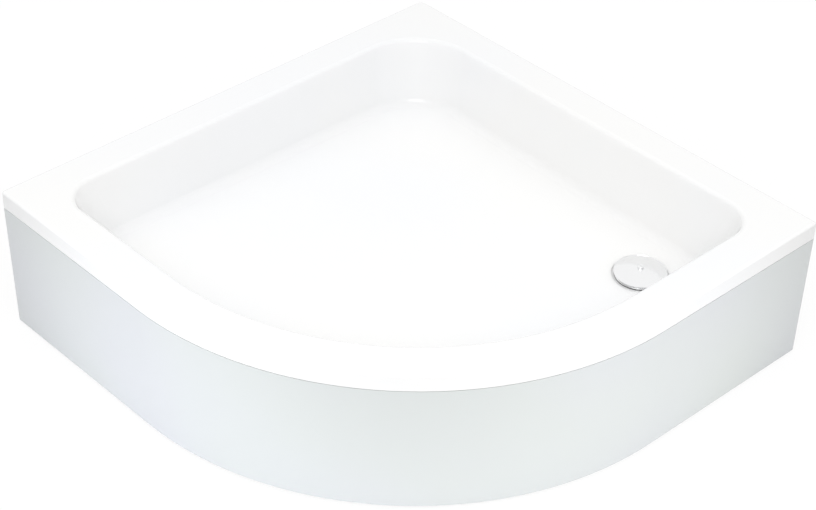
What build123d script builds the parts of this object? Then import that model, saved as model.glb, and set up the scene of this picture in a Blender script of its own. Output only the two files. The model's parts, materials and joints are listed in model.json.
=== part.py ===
from build123d import *
import math
import os

os.makedirs("parts", exist_ok=True)

# Frame: millimetres, +Z up, origin on the floor under the middle of the square footprint.
# The room corner is at -X +Y, and the rounded front faces +X -Y.

# Tray outline
tray_side = 900.0
front_radius = 550.0
room_corner_radius = 12.0
end_corner_radius = 5.0
rim_height = 260.0
lip_drop = 30.0
rim_edge_radius = 4.5
lip_inside_radius = 3.0

# Basin
rim_wall_width = 62.0
rim_front_width = 65.0
opening_room_radius = 110.0
opening_end_radius = 60.0
opening_edge_radius = 8.0
basin_wall_angle = 19.0
floor_room_radius = 105.0
floor_end_radius = 45.0
floor_edge_radius = 16.0
floor_fall_angle = 1.03
waste_depth = 115.0

# Shell layers
shell_thickness = 4.0
laminate_thickness = 3.0
bond_line = 0.2
bedding_least = 1.2
board_thickness = 16.0
board_wall_inset = 118.0
board_front_inset = 122.0
board_room_radius = 95.0
board_end_radius = 30.0

# Waste, trap and outlet
waste_inset = 188.0
recess_radius = 46.0
recess_depth = 1.0
waste_hole_radius = 30.0
waste_clearance_radius = 56.0
flange_radius = 41.0
flange_thickness = 2.5
throat_radius = 26.0
throat_wall = 2.8
throat_length = 25.0
upper_gasket_thickness = 1.3
lower_gasket_thickness = 3.0
gasket_bore_radius = 31.0
trap_radius = 44.0
trap_wall = 3.0
trap_depth = 95.0
trap_flange_thickness = 4.5
trap_neck_length = 16.0
thread_clearance = 0.3
insert_radius = 22.0
insert_wall = 1.8
insert_collar_radius = 34.0
insert_collar_thickness = 2.0
insert_floor_gap = 8.0
seat_clearance = 0.2
seal_height = 4.0
cover_radius = 43.0
cover_rise = 8.0
cover_wall = 1.6
cover_water_gap = 3.2
cover_fin_count = 3
cover_fin_width = 2.0
cover_fin_depth = 16.0
cover_fin_inner_radius = 8.0
knob_radius = 5.5
knob_height = 3.2
knob_shank_radius = 2.0
knob_slot_width = 1.2
knob_slot_depth = 1.2
outlet_pipe_radius = 20.0
outlet_pipe_wall = 1.8
outlet_drop = 49.0
outlet_branch_radius = 25.0
outlet_branch_length = 36.0
outlet_pipe_length = 120.0
outlet_nut_radius = 30.0
outlet_nut_length = 24.0
outlet_nut_overlap = 16.0
outlet_nut_ribs = 12
outlet_nut_groove_width = 4.0
outlet_nut_groove_depth = 1.0
outlet_washer_thickness = 4.0
outlet_bead_height = 2.0
outlet_bead_width = 3.0
outlet_bead_gap = 4.0

# Support rails, their caps and screws
rail_width = 25.0
rail_wall = 1.5
left_rail_inset = 200.0
right_rail_inset = 330.0
drain_rail_inset = 320.0
rail_wall_inset = 125.0
rail_front_inset = 150.0
rail_cap_thickness = 2.0
rail_cap_plug = 10.0
rail_cap_clearance = 0.1
rail_screw_radius = 2.2
rail_screw_clearance = 0.2
rail_screw_bite = 12.0
rail_screw_head_radius = 4.5
rail_screw_head_height = 2.5
rail_screw_leg_gap = 45.0

# Levelling legs
leg_end_inset = 35.0
rod_radius = 6.0
rod_clearance = 0.2
rod_hole_clearance = 0.6
rod_tip_gap = 1.5
foot_travel = 12.0
foot_radius = 25.0
foot_rim_height = 5.0
foot_hub_radius = 11.0
foot_height = 20.0
foot_socket_floor = 6.0
nut_across_flats = 19.0
nut_height = 10.0
adjuster_height = 8.0

# Apron panel
apron_thickness = 4.0
apron_draft = 6.0
apron_floor_gap = 3.0
apron_joint_gap = 1.0
apron_flange_width = 22.0

# Clips, brackets and magnets that hold the apron
clip_thickness = 2.0
clip_width = 30.0
clip_grip = 12.0
clip_clearance = 0.3
clip_web_clearance = 5.0
clip_foot_length = 20.0
clip_end_inset = 150.0
clip_arc_angles = [-67.5, -22.5]
bracket_thickness = 3.0
bracket_width = 26.0
bracket_plate_drop = 36.0
magnet_thickness = 6.0
magnet_width = 24.0
magnet_height = 24.0
keeper_thickness = 1.5
keeper_width = 30.0
keeper_height = 30.0
keeper_gap = 0.3

# Brackets that hook the lip to the walls
wall_bracket_length = 60.0
wall_bracket_thickness = 3.0
wall_bracket_drop = 40.0
wall_bracket_reach = 25.0
wall_bracket_hook = 10.0
wall_bracket_spacing = 400.0
wall_hole_radius = 2.75
wall_hole_spacing = 30.0
wall_hole_drop = 26.0

# How far a cut runs past the faces it opens
cut_margin = 1.0

# Levels and places that follow from the sizes above
half_side = tray_side / 2
arc_x = half_side - front_radius
arc_y = -half_side + front_radius
wall_slope = math.tan(math.radians(basin_wall_angle))
floor_slope = math.tan(math.radians(floor_fall_angle))
lip_bottom = rim_height - lip_drop
laminate_offset = shell_thickness + bond_line
laminate_outer = laminate_offset + laminate_thickness
bedding_offset = laminate_outer + bond_line
rim_underside = rim_height - laminate_outer
waste_x = half_side - waste_inset
waste_y = half_side - waste_inset
waste_level = rim_height - waste_depth
recess_level = waste_level - recess_depth
board_top = recess_level - bedding_offset - bedding_least
board_bottom = board_top - board_thickness
rail_top = board_bottom
rail_bottom = rail_top - rail_width
weld_nut_bottom = rail_bottom - nut_height
bracket_bottom = weld_nut_bottom - bracket_thickness
lock_nut_bottom = bracket_bottom - nut_height
rod_top = rail_top - rail_wall - foot_travel - rod_tip_gap
flange_seat = recess_level + upper_gasket_thickness
flange_top = flange_seat + flange_thickness
laminate_underside = recess_level - laminate_outer
trap_top = laminate_underside - lower_gasket_thickness
trap_bottom = trap_top - trap_depth
outlet_level = trap_top - outlet_drop
branch_end = trap_radius + outlet_branch_length
collar_top = flange_top + seat_clearance + insert_collar_thickness
cover_edge = flange_top + cover_water_gap
apron_top = lip_bottom - apron_joint_gap
upright = (Align.CENTER, Align.CENTER, Align.MIN)


def outline(wall_inset, front_inset, room_radius, end_radius):
    """Quadrant outline: two walls, two short straight fronts and the large front arc."""
    left = -half_side + wall_inset
    back = half_side - wall_inset
    right = half_side - front_inset
    front = -half_side + front_inset
    edges = [
        CenterArc((left + room_radius, back - room_radius), room_radius, 90, 90),
        Line((left + room_radius, back), (right - end_radius, back)),
        CenterArc((right - end_radius, back - end_radius), end_radius, 0, 90),
        Line((right, back - end_radius), (right, arc_y)),
        CenterArc((arc_x, arc_y), front_radius - front_inset, -90, 90),
        Line((arc_x, front), (left + end_radius, front)),
        CenterArc((left + end_radius, front + end_radius), end_radius, 180, 90),
        Line((left, front + end_radius), (left, back - room_radius)),
    ]
    return Face(Wire(edges))


def prism(face, bottom, top):
    """A flat outline drawn up from one level to another."""
    return Pos(0, 0, bottom) * extrude(face, amount=top - bottom)


def turned(points):
    """A closed profile of (radius, level) points turned about the waste's vertical axis."""
    profile = make_face(Plane.XZ * Polyline(*points, close=True))
    return Pos(waste_x, waste_y, 0) * revolve(profile, Axis.Z)


def post(x, y, radius, bottom, top):
    return Pos(x, y, bottom) * Cylinder(radius, top - bottom, align=upright)


def basin(growth):
    """The basin's hollow, grown by a thickness: sloped walls, a floor that falls to the waste."""
    loft_depth = waste_depth + growth + floor_edge_radius
    side_growth = growth * math.hypot(1, wall_slope)
    taper = wall_slope * loft_depth - side_growth
    mouth = outline(
        rim_wall_width - side_growth,
        rim_front_width - side_growth,
        opening_room_radius + growth,
        opening_end_radius + growth,
    )
    base = outline(
        rim_wall_width + taper,
        rim_front_width + taper,
        floor_room_radius + growth,
        floor_end_radius + growth,
    )
    walls = loft([Pos(0, 0, rim_height) * mouth, Pos(0, 0, rim_height - loft_depth) * base], ruled=True)
    low = waste_level - growth
    reach = 2 * tray_side
    below_floor = turned([
        (0, low),
        (reach, low + floor_slope * reach),
        (reach, low - rim_height),
        (0, low - rim_height),
    ])
    hollow = walls - below_floor
    floor_face = hollow.faces().sort_by(Axis.Z)[0]
    hollow = fillet(floor_face.edges(), floor_edge_radius + growth)
    recess_top = waste_level + floor_edge_radius
    recess = post(waste_x, waste_y, recess_radius + growth, recess_level - growth, recess_top)
    return hollow + recess


def tray_shell():
    """Acrylic skin: flat rim with a turned-down lip, sloped basin walls and floor."""
    slab = prism(outline(0, 0, room_corner_radius, end_corner_radius), lip_bottom, rim_height)
    slab = fillet(slab.faces().sort_by(Axis.Z)[-1].edges(), rim_edge_radius)
    inside = outline(shell_thickness, shell_thickness, lip_inside_radius, lip_inside_radius)
    underside = prism(inside, lip_bottom, rim_height - shell_thickness)
    shell = slab - underside + basin(shell_thickness) - basin(0)
    rim_face = shell.faces().sort_by(Axis.Z)[-1]
    shell = fillet(rim_face.inner_wires()[0].edges(), opening_edge_radius)
    return shell - post(waste_x, waste_y, waste_hole_radius, 0, rim_height)


def tray_laminate():
    """Glass-fibre layer bonded under the rim, the basin walls and the floor."""
    edge = laminate_offset
    inside = outline(edge, edge, lip_inside_radius, lip_inside_radius)
    plate = prism(inside, rim_underside, rim_height - laminate_offset)
    rim_outline = outline(0, 0, room_corner_radius, end_corner_radius)
    below_rim = prism(rim_outline, 0, rim_height - laminate_offset)
    layer = plate + (basin(laminate_outer) & below_rim) - basin(laminate_offset)
    return layer - post(waste_x, waste_y, waste_hole_radius, 0, rim_height)


def board_outline():
    return outline(board_wall_inset, board_front_inset, board_room_radius, board_end_radius)


def waste_opening():
    return post(waste_x, waste_y, waste_clearance_radius, 0, rim_height)


def floor_bedding():
    """Resin bed that fills the fall of the floor above the level board."""
    bed = prism(board_outline(), board_top, rim_height - waste_depth / 2)
    return bed - basin(bedding_offset) - waste_opening()


def base_board():
    board = prism(board_outline(), board_bottom, board_top)
    holes = [
        post(x, y, rail_screw_radius, board_bottom, board_bottom + rail_screw_bite)
        for x, y in rail_screw_places()
    ]
    return board - waste_opening() - holes


# The rails as (name, start, end), where each start and end is a point on the rail's axis
def front_limit_y(x):
    """The front edge's Y at a given X, on the straight or on the arc."""
    if x <= arc_x:
        return -half_side
    return arc_y - math.sqrt(front_radius ** 2 - (x - arc_x) ** 2)


def front_limit_x(y):
    """The front edge's X at a given Y, on the straight or on the arc."""
    if y >= arc_y:
        return half_side
    return arc_x + math.sqrt(front_radius ** 2 - (y - arc_y) ** 2)


left_rail_x = -half_side + left_rail_inset
right_rail_x = half_side - right_rail_inset
drain_rail_y = half_side - drain_rail_inset
rail_back_y = half_side - rail_wall_inset
left_rail_front_y = front_limit_y(left_rail_x) + rail_front_inset
right_rail_front_y = front_limit_y(right_rail_x) + rail_front_inset
drain_rail_start_x = right_rail_x + rail_width / 2
drain_rail_end_x = front_limit_x(drain_rail_y) - rail_front_inset + rail_width
rails = {
    "rail_left": ((left_rail_x, left_rail_front_y), (left_rail_x, rail_back_y)),
    "rail_right": ((right_rail_x, right_rail_front_y), (right_rail_x, rail_back_y)),
    "rail_drain_side": ((drain_rail_start_x, drain_rail_y), (drain_rail_end_x, drain_rail_y)),
}
legs = {
    "left_front": (left_rail_x, left_rail_front_y + leg_end_inset),
    "left_back": (left_rail_x, rail_back_y - leg_end_inset),
    "right_front": (right_rail_x, right_rail_front_y + leg_end_inset),
    "right_back": (right_rail_x, rail_back_y - leg_end_inset),
    "drain_side": (drain_rail_end_x - leg_end_inset, drain_rail_y),
}


def rail_screw_places():
    """Two screws on each long rail inside its legs, and one on the short rail."""
    places = []
    for x, front in ((left_rail_x, left_rail_front_y), (right_rail_x, right_rail_front_y)):
        places.append((x, front + leg_end_inset + rail_screw_leg_gap))
        places.append((x, rail_back_y - leg_end_inset - rail_screw_leg_gap))
    places.append((drain_rail_end_x - leg_end_inset - rail_screw_leg_gap, drain_rail_y))
    return places


def rail_box(start, end, side, level):
    """A level square bar between two points on one axis, with its underside at a level."""
    length_x = abs(end[0] - start[0]) or side
    length_y = abs(end[1] - start[1]) or side
    middle_x = (start[0] + end[0]) / 2
    middle_y = (start[1] + end[1]) / 2
    return Pos(middle_x, middle_y, level) * Box(length_x, length_y, side, align=upright)


def rail(start, end):
    """Square steel tube with holes for the leg rods and the board screws."""
    tube = rail_box(start, end, rail_width, rail_bottom)
    tube = tube - rail_box(start, end, rail_width - 2 * rail_wall, rail_bottom + rail_wall)
    below = rail_bottom - cut_margin
    for x, y in legs.values():
        tube = tube - post(x, y, rod_radius + rod_hole_clearance, below, rail_bottom + 2 * rail_wall)
    for x, y in rail_screw_places():
        tube = tube - post(x, y, rail_screw_radius + rail_screw_clearance, below, rail_top + cut_margin)
    return tube


def rail_caps():
    """Plastic plugs that close the open rail ends."""
    plug_side = rail_width - 2 * rail_wall - 2 * rail_cap_clearance
    ends = [
        (left_rail_x, left_rail_front_y, 0, -1),
        (left_rail_x, rail_back_y, 0, 1),
        (right_rail_x, right_rail_front_y, 0, -1),
        (right_rail_x, rail_back_y, 0, 1),
        (drain_rail_end_x, drain_rail_y, 1, 0),
    ]
    caps = []
    for x, y, out_x, out_y in ends:
        outside = (x + out_x * rail_cap_thickness, y + out_y * rail_cap_thickness)
        inside = (x - out_x * rail_cap_plug, y - out_y * rail_cap_plug)
        plug_level = rail_bottom + (rail_width - plug_side) / 2
        cap = rail_box((x, y), outside, rail_width, rail_bottom)
        caps.append(cap + rail_box((x, y), inside, plug_side, plug_level))
    return Compound(children=caps)


def rail_screws():
    """Pan-head screws that go up through the rails into the board."""
    screws = []
    for x, y in rail_screw_places():
        shank = post(x, y, rail_screw_radius, rail_bottom, board_bottom + rail_screw_bite)
        head = post(x, y, rail_screw_head_radius, rail_bottom - rail_screw_head_height, rail_bottom)
        head = chamfer(head.edges().sort_by(Axis.Z)[0], rail_screw_head_height / 3)
        screws.append(shank + head)
    return Compound(children=screws)


def hex_nut(x, y, bottom, height, bore_radius):
    hexagon = RegularPolygon(nut_across_flats / 2, 6, major_radius=False)
    nut = Pos(x, y, bottom) * extrude(hexagon, amount=height)
    if bore_radius > 0:
        nut = nut - post(x, y, bore_radius, bottom - cut_margin, bottom + height + cut_margin)
    return nut


def weld_nuts():
    bore = rod_radius + rod_clearance
    nuts = [hex_nut(x, y, weld_nut_bottom, nut_height, bore) for x, y in legs.values()]
    return Compound(children=nuts)


def lock_nuts():
    """Nuts that lock each rod; they sit under the bracket, or under the weld nut where none is."""
    bore = rod_radius + rod_clearance
    nuts = []
    for name, (x, y) in legs.items():
        bottom = lock_nut_bottom if name in bracketed_legs else weld_nut_bottom - nut_height
        nuts.append(hex_nut(x, y, bottom, nut_height, bore))
    return Compound(children=nuts)


def leg_rod(x, y):
    """Threaded rod with a hexagon adjuster above the foot."""
    rod = post(x, y, rod_radius, foot_socket_floor, rod_top)
    rod = chamfer(rod.edges().sort_by(Axis.Z)[-1], rod_radius / 6)
    return rod + hex_nut(x, y, foot_height, adjuster_height, 0)


def leg_foot(x, y):
    """Round plastic foot with a raised hub that holds the rod."""
    pad = post(0, 0, foot_radius, 0, foot_rim_height)
    hub = Pos(0, 0, foot_rim_height) * Cone(
        foot_radius - foot_rim_height, foot_hub_radius, foot_height - foot_rim_height, align=upright
    )
    socket_radius = rod_radius + rod_clearance / 2
    foot = pad + hub - post(0, 0, socket_radius, foot_socket_floor, foot_height + cut_margin)
    return Pos(x, y, 0) * foot


def apron_hollow(wall_inset, front_inset, bottom, top):
    """The apron's form, leaning in towards the floor, between two levels."""
    lean = apron_draft / (apron_top - apron_floor_gap)
    upper_inset = front_inset + lean * (apron_top - top)
    lower_inset = front_inset + lean * (apron_top - bottom)
    upper = outline(wall_inset, upper_inset, room_corner_radius, end_corner_radius)
    lower = outline(wall_inset, lower_inset, room_corner_radius, end_corner_radius)
    return loft([Pos(0, 0, top) * upper, Pos(0, 0, bottom) * lower], ruled=True)


def apron_panel():
    """Curved front panel with a flange turned in all round its back."""
    wall = apron_thickness
    outside = apron_hollow(0, 0, apron_floor_gap, apron_top)
    pocket = apron_hollow(wall, wall, apron_floor_gap + wall, apron_top - wall)
    beyond = -apron_flange_width
    core = outline(beyond, apron_flange_width, room_corner_radius, end_corner_radius)
    return outside - pocket - prism(core, 0, rim_height)


def outward_at(x, y):
    """Direction in degrees that points squarely at the front edge from a place inside it."""
    if x > arc_x and y < arc_y:
        return math.degrees(math.atan2(y - arc_y, x - arc_x))
    if x <= arc_x:
        return -90.0
    return 0.0


def reach_at(x, y):
    """Distance from a place inside the tray to the front edge, along that direction."""
    if x > arc_x and y < arc_y:
        return front_radius - math.hypot(x - arc_x, y - arc_y)
    if x <= arc_x:
        return y + half_side
    return half_side - x


def apron_clip(x, y, angle):
    """Spring clip under the rim; its fork grips the apron's top flange. Local +X is outward."""
    flange_bottom = apron_top - apron_thickness
    lower = flange_bottom - clip_clearance
    upper = apron_top + clip_clearance
    web = -(apron_flange_width + clip_web_clearance)
    tip = -apron_flange_width + clip_grip
    foot = web - clip_thickness - clip_foot_length
    profile = Polyline(
        (tip, lower),
        (tip, lower - clip_thickness),
        (web - clip_thickness, lower - clip_thickness),
        (web - clip_thickness, rim_underside - clip_thickness),
        (foot, rim_underside - clip_thickness),
        (foot, rim_underside),
        (web, rim_underside),
        (web, upper + clip_thickness),
        (tip, upper + clip_thickness),
        (tip, upper),
        (web, upper),
        (web, lower),
        close=True,
    )
    strip = extrude(make_face(Plane.XZ * profile), amount=clip_width / 2, both=True)
    return Pos(x, y, 0) * Rot(0, 0, angle) * strip


def apron_clips():
    """Four clips: one on each straight front and two on the arc."""
    clips = [
        apron_clip(-half_side + clip_end_inset, -half_side, -90),
        apron_clip(half_side, half_side - clip_end_inset, 0),
    ]
    for angle in clip_arc_angles:
        x = arc_x + front_radius * math.cos(math.radians(angle))
        y = arc_y + front_radius * math.sin(math.radians(angle))
        clips.append(apron_clip(x, y, angle))
    return Compound(children=clips)


bracketed_legs = ["left_front", "right_front", "drain_side"]
bracket_plate_bottom = bracket_bottom + bracket_thickness - bracket_plate_drop
keeper_middle = bracket_plate_bottom + bracket_plate_drop / 2
apron_lean = apron_draft / (apron_top - apron_floor_gap)
apron_bow = keeper_width ** 2 / (8 * (front_radius - apron_thickness))
keeper_inset = (
    apron_thickness
    + apron_lean * (apron_top - keeper_middle + keeper_height / 2)
    + apron_bow
    + keeper_gap
)
magnet_face_inset = keeper_inset + keeper_thickness + keeper_gap
bracket_end_inset = magnet_face_inset + magnet_thickness


def facing_front(name, solid):
    """Place a solid modelled with +X outward from a leg so that it faces the apron."""
    x, y = legs[name]
    return Pos(x, y, 0) * Rot(0, 0, outward_at(x, y)) * solid


def apron_bracket(name):
    """Bent steel strip clamped on a leg between its nuts, with a plate near the apron."""
    end = reach_at(*legs[name]) - bracket_end_inset
    tail = -bracket_width / 2
    strip = Pos((end + tail) / 2, 0, bracket_bottom) * Box(
        end - tail, bracket_width, bracket_thickness, align=upright
    )
    plate = Pos(end - bracket_thickness / 2, 0, bracket_plate_bottom) * Box(
        bracket_thickness, bracket_width, bracket_plate_drop, align=upright
    )
    hole_radius = rod_radius + rod_hole_clearance
    hole = post(0, 0, hole_radius, bracket_bottom - cut_margin, bracket_bottom + nut_height)
    return facing_front(name, strip + plate - hole)


def end_blocks(near_inset, thickness, width, height):
    """One block in front of each bracket's plate; near_inset is its outer face's inset."""
    blocks = []
    for name in bracketed_legs:
        outer = reach_at(*legs[name]) - near_inset
        block = Pos(outer - thickness / 2, 0, keeper_middle) * Box(thickness, width, height)
        blocks.append(facing_front(name, block))
    return Compound(children=blocks)


def wall_bracket():
    """Angle whose hook carries the lip. Local wall plane is X = 0, with the room behind it."""
    leg = Pos(wall_bracket_thickness / 2, 0, lip_bottom - wall_bracket_drop) * Box(
        wall_bracket_thickness, wall_bracket_length, wall_bracket_drop, align=upright
    )
    shelf = Pos(wall_bracket_reach / 2, 0, lip_bottom - wall_bracket_thickness) * Box(
        wall_bracket_reach, wall_bracket_length, wall_bracket_thickness, align=upright
    )
    hook = Pos(wall_bracket_reach - wall_bracket_thickness / 2, 0, lip_bottom) * Box(
        wall_bracket_thickness, wall_bracket_length, wall_bracket_hook, align=upright
    )
    bracket = leg + shelf + hook
    for side in (-1, 1):
        hole = Pos(0, side * wall_hole_spacing / 2, lip_bottom - wall_hole_drop) * Rot(0, 90, 0)
        bracket = bracket - hole * Cylinder(wall_hole_radius, 3 * wall_bracket_thickness)
    return bracket


def wall_brackets():
    """Two brackets on each wall."""
    bracket = wall_bracket()
    placed = []
    for side in (-1, 1):
        along = side * wall_bracket_spacing / 2
        placed.append(Pos(-half_side, along, 0) * bracket)
        placed.append(Pos(along, half_side, 0) * Rot(0, 0, -90) * bracket)
    return Compound(children=placed)


def waste_flange():
    """Chromed ring over the waste hole, with a threaded throat into the trap."""
    throat_outer = throat_radius + throat_wall
    return turned([
        (throat_radius, flange_top),
        (flange_radius - flange_thickness, flange_top),
        (flange_radius, flange_seat + flange_thickness / 3),
        (flange_radius, flange_seat),
        (throat_outer, flange_seat),
        (throat_outer, flange_top - throat_length),
        (throat_radius, flange_top - throat_length),
    ])


def ring(inner, outer, bottom, top):
    return turned([(inner, bottom), (outer, bottom), (outer, top), (inner, top)])


def outlet_along(start, length, radius):
    """A round bar on the outlet's axis, from a distance behind the waste's centre."""
    place = Pos(waste_x, waste_y + start, outlet_level) * Rot(-90, 0, 0)
    return place * Cylinder(radius, length, align=upright)


def outlet_bore(start, length, radius):
    """The same bar run past both ends, to cut a bore with."""
    return outlet_along(start - cut_margin, length + 2 * cut_margin, radius)


def trap_body():
    """Low trap: clamping flange, threaded neck, round pot and side branch."""
    neck_bore = throat_radius + throat_wall + thread_clearance
    neck_outer = neck_bore + trap_wall
    neck_end = trap_top - trap_neck_length
    pot_inner = trap_radius - trap_wall
    shoulder = trap_radius - neck_outer
    pot_top = neck_end - shoulder / 2
    outer = turned([
        (0, trap_bottom),
        (trap_radius, trap_bottom),
        (trap_radius, pot_top),
        (neck_outer, neck_end),
        (neck_outer, trap_top - trap_flange_thickness),
        (flange_radius, trap_top - trap_flange_thickness),
        (flange_radius, trap_top),
        (0, trap_top),
    ])
    inner = turned([
        (0, trap_bottom + trap_wall),
        (pot_inner, trap_bottom + trap_wall),
        (pot_inner, pot_top - trap_wall),
        (neck_bore, neck_end - trap_wall),
        (neck_bore, trap_top + cut_margin),
        (0, trap_top + cut_margin),
    ])
    branch = outlet_along(0, branch_end, outlet_branch_radius)
    branch_bore = outlet_along(0, branch_end + cut_margin, outlet_pipe_radius + seat_clearance)
    return outer + branch - inner - branch_bore


def outlet_nut():
    """Ribbed nut that squeezes the washer onto the pipe."""
    start = branch_end - outlet_nut_overlap
    nut = outlet_along(start, outlet_nut_length, outlet_nut_radius)
    for index in range(outlet_nut_ribs):
        turn = Rot(0, index * 360 / outlet_nut_ribs, 0)
        groove = Pos(outlet_nut_radius, outlet_nut_length / 2, 0) * Box(
            2 * outlet_nut_groove_depth, outlet_nut_length, outlet_nut_groove_width
        )
        nut = nut - Pos(waste_x, waste_y + start, outlet_level) * turn * groove
    seat = outlet_nut_overlap + outlet_washer_thickness + 2 * seat_clearance
    mouth = outlet_along(start - cut_margin, seat + cut_margin, outlet_branch_radius + seat_clearance)
    return nut - mouth - outlet_bore(start, outlet_nut_length, outlet_pipe_radius + seat_clearance)


def outlet_washer():
    start = branch_end + seat_clearance
    washer = outlet_along(start, outlet_washer_thickness, outlet_branch_radius)
    return washer - outlet_bore(start, outlet_washer_thickness, outlet_pipe_radius)


def outlet_pipe():
    """Pipe stub whose raised bead stops the fitting that slides over its end."""
    start = trap_radius
    bead_start = branch_end - outlet_nut_overlap + outlet_nut_length + outlet_bead_gap
    pipe = outlet_along(start, outlet_pipe_length, outlet_pipe_radius)
    pipe = pipe + outlet_along(bead_start, outlet_bead_width, outlet_pipe_radius + outlet_bead_height)
    return pipe - outlet_bore(start, outlet_pipe_length, outlet_pipe_radius - outlet_pipe_wall)


def trap_insert():
    """Lift-out dip tube that hangs by its collar on the waste flange."""
    bore = insert_radius - insert_wall
    bottom = trap_bottom + trap_wall + insert_floor_gap
    collar_bottom = flange_top + seat_clearance
    seal_top = flange_top - flange_thickness
    seal_bottom = seal_top - seal_height
    groove = insert_radius + insert_wall
    return turned([
        (bore, bottom),
        (insert_radius, bottom),
        (insert_radius, seal_bottom - insert_wall),
        (groove, seal_bottom - insert_wall),
        (groove, seal_bottom),
        (insert_radius, seal_bottom),
        (insert_radius, collar_bottom),
        (insert_collar_radius, collar_bottom),
        (insert_collar_radius, collar_top),
        (bore, collar_top),
    ])


def insert_seal():
    seal_top = flange_top - flange_thickness
    return ring(insert_radius, throat_radius - thread_clearance, seal_top - seal_height, seal_top)


def dome(radius, edge, rise):
    """Shallow spherical cap above an edge level."""
    sphere_radius = (radius ** 2 + rise ** 2) / (2 * rise)
    ball = Pos(0, 0, edge + rise - sphere_radius) * Sphere(sphere_radius)
    return ball & post(0, 0, radius, edge, edge + 2 * rise)


def cover_dome():
    """Domed cover over the waste, on fins that drop into the insert."""
    outside = dome(cover_radius, cover_edge, cover_rise)
    inside = dome(cover_radius - cover_wall, cover_edge, cover_rise - cover_wall)
    cap = outside - inside
    fin_outer = insert_radius - insert_wall - seat_clearance
    fin_bottom = collar_top - cover_fin_depth
    for index in range(cover_fin_count):
        profile = Polyline(
            (cover_fin_inner_radius, fin_bottom),
            (fin_outer, fin_bottom),
            (fin_outer, collar_top + seat_clearance),
            (insert_collar_radius, collar_top + seat_clearance),
            (insert_collar_radius, cover_edge + cover_rise),
            (cover_fin_inner_radius, cover_edge + cover_rise),
            close=True,
        )
        fin = extrude(make_face(Plane.XZ * profile), amount=cover_fin_width / 2, both=True)
        trimmed = fin & (outside + post(0, 0, insert_collar_radius, fin_bottom, cover_edge))
        cap = cap + Rot(0, 0, index * 360 / cover_fin_count) * trimmed
    cap = cap - post(0, 0, knob_shank_radius + seat_clearance, cover_edge, cover_edge + 2 * cover_rise)
    return Pos(waste_x, waste_y, 0) * cap


def cover_knob():
    """Slotted button that closes the middle of the dome."""
    top = cover_edge + cover_rise
    head = post(0, 0, knob_radius, top, top + knob_height)
    head = fillet(head.edges().sort_by(Axis.Z)[-1], knob_height / 3)
    slot = Pos(0, 0, top + knob_height) * Box(2 * knob_radius, knob_slot_width, 2 * knob_slot_depth)
    shank = post(0, 0, knob_shank_radius, top - 2 * cover_wall, top)
    return Pos(waste_x, waste_y, 0) * (head - slot + shank)


def main():
    """Writes every piece to its own file."""
    pieces = {
        "tray_shell": tray_shell(),
        "tray_laminate": tray_laminate(),
        "floor_bedding": floor_bedding(),
        "base_board": base_board(),
        "rail_caps": rail_caps(),
        "rail_screws": rail_screws(),
        "weld_nuts": weld_nuts(),
        "lock_nuts": lock_nuts(),
        "apron_panel": apron_panel(),
        "apron_clips": apron_clips(),
        "apron_magnets": end_blocks(magnet_face_inset, magnet_thickness, magnet_width, magnet_height),
        "apron_keepers": end_blocks(keeper_inset, keeper_thickness, keeper_width, keeper_height),
        "wall_brackets": wall_brackets(),
        "waste_flange": waste_flange(),
        "upper_gasket": ring(gasket_bore_radius, flange_radius, recess_level, flange_seat),
        "lower_gasket": ring(gasket_bore_radius, flange_radius, trap_top, laminate_underside),
        "trap_body": trap_body(),
        "outlet_nut": outlet_nut(),
        "outlet_washer": outlet_washer(),
        "outlet_pipe": outlet_pipe(),
        "trap_insert": trap_insert(),
        "insert_seal": insert_seal(),
        "cover_dome": cover_dome(),
        "cover_knob": cover_knob(),
    }
    for name, (start, end) in rails.items():
        pieces[name] = rail(start, end)
    for name in bracketed_legs:
        pieces["apron_bracket_" + name] = apron_bracket(name)
    for name, (x, y) in legs.items():
        pieces["rod_" + name] = leg_rod(x, y)
        pieces["foot_" + name] = leg_foot(x, y)
    for name, solid in pieces.items():
        export_step(solid, f"parts/{name}.step")


main()
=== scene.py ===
import json
import math
import bmesh
import bpy
from mathutils import Matrix, Vector


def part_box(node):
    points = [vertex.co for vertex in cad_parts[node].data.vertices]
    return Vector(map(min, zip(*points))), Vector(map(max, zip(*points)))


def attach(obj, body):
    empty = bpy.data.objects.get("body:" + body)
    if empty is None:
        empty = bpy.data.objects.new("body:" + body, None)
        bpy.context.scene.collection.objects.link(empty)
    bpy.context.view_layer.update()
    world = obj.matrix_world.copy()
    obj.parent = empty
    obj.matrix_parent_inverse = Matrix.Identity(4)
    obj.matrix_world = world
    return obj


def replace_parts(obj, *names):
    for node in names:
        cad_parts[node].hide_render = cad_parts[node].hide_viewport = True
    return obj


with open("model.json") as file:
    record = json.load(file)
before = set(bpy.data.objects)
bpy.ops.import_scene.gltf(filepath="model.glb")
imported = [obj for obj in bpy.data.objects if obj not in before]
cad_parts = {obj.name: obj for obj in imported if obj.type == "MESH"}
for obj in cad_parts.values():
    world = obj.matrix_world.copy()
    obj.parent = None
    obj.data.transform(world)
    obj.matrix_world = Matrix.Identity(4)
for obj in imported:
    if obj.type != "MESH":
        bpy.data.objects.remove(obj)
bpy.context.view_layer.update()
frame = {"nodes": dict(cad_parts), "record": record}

# Frame: metres, +Z up, the room corner at -X +Y, the rounded front towards +X -Y.
# The camera, the floor and the lamps are placed in metres; the sizes of pieces are in millimetres.
LEGS = ["left_front", "left_back", "right_front", "right_back", "drain_side"]
IMAGE_WIDTH = 816
MM = 0.001

# The photograph's viewpoint
CAMERA_PLACE = (2.00337, -1.90549, 2.23180)
CAMERA_AZIMUTH = 46.39
CAMERA_ELEVATION = 36.77
CAMERA_ROLL = 1.37
CAMERA_FOCAL_PIXELS = 2181.14
SENSOR_WIDTH = 36.0
VIEW_END = 50.0


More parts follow.
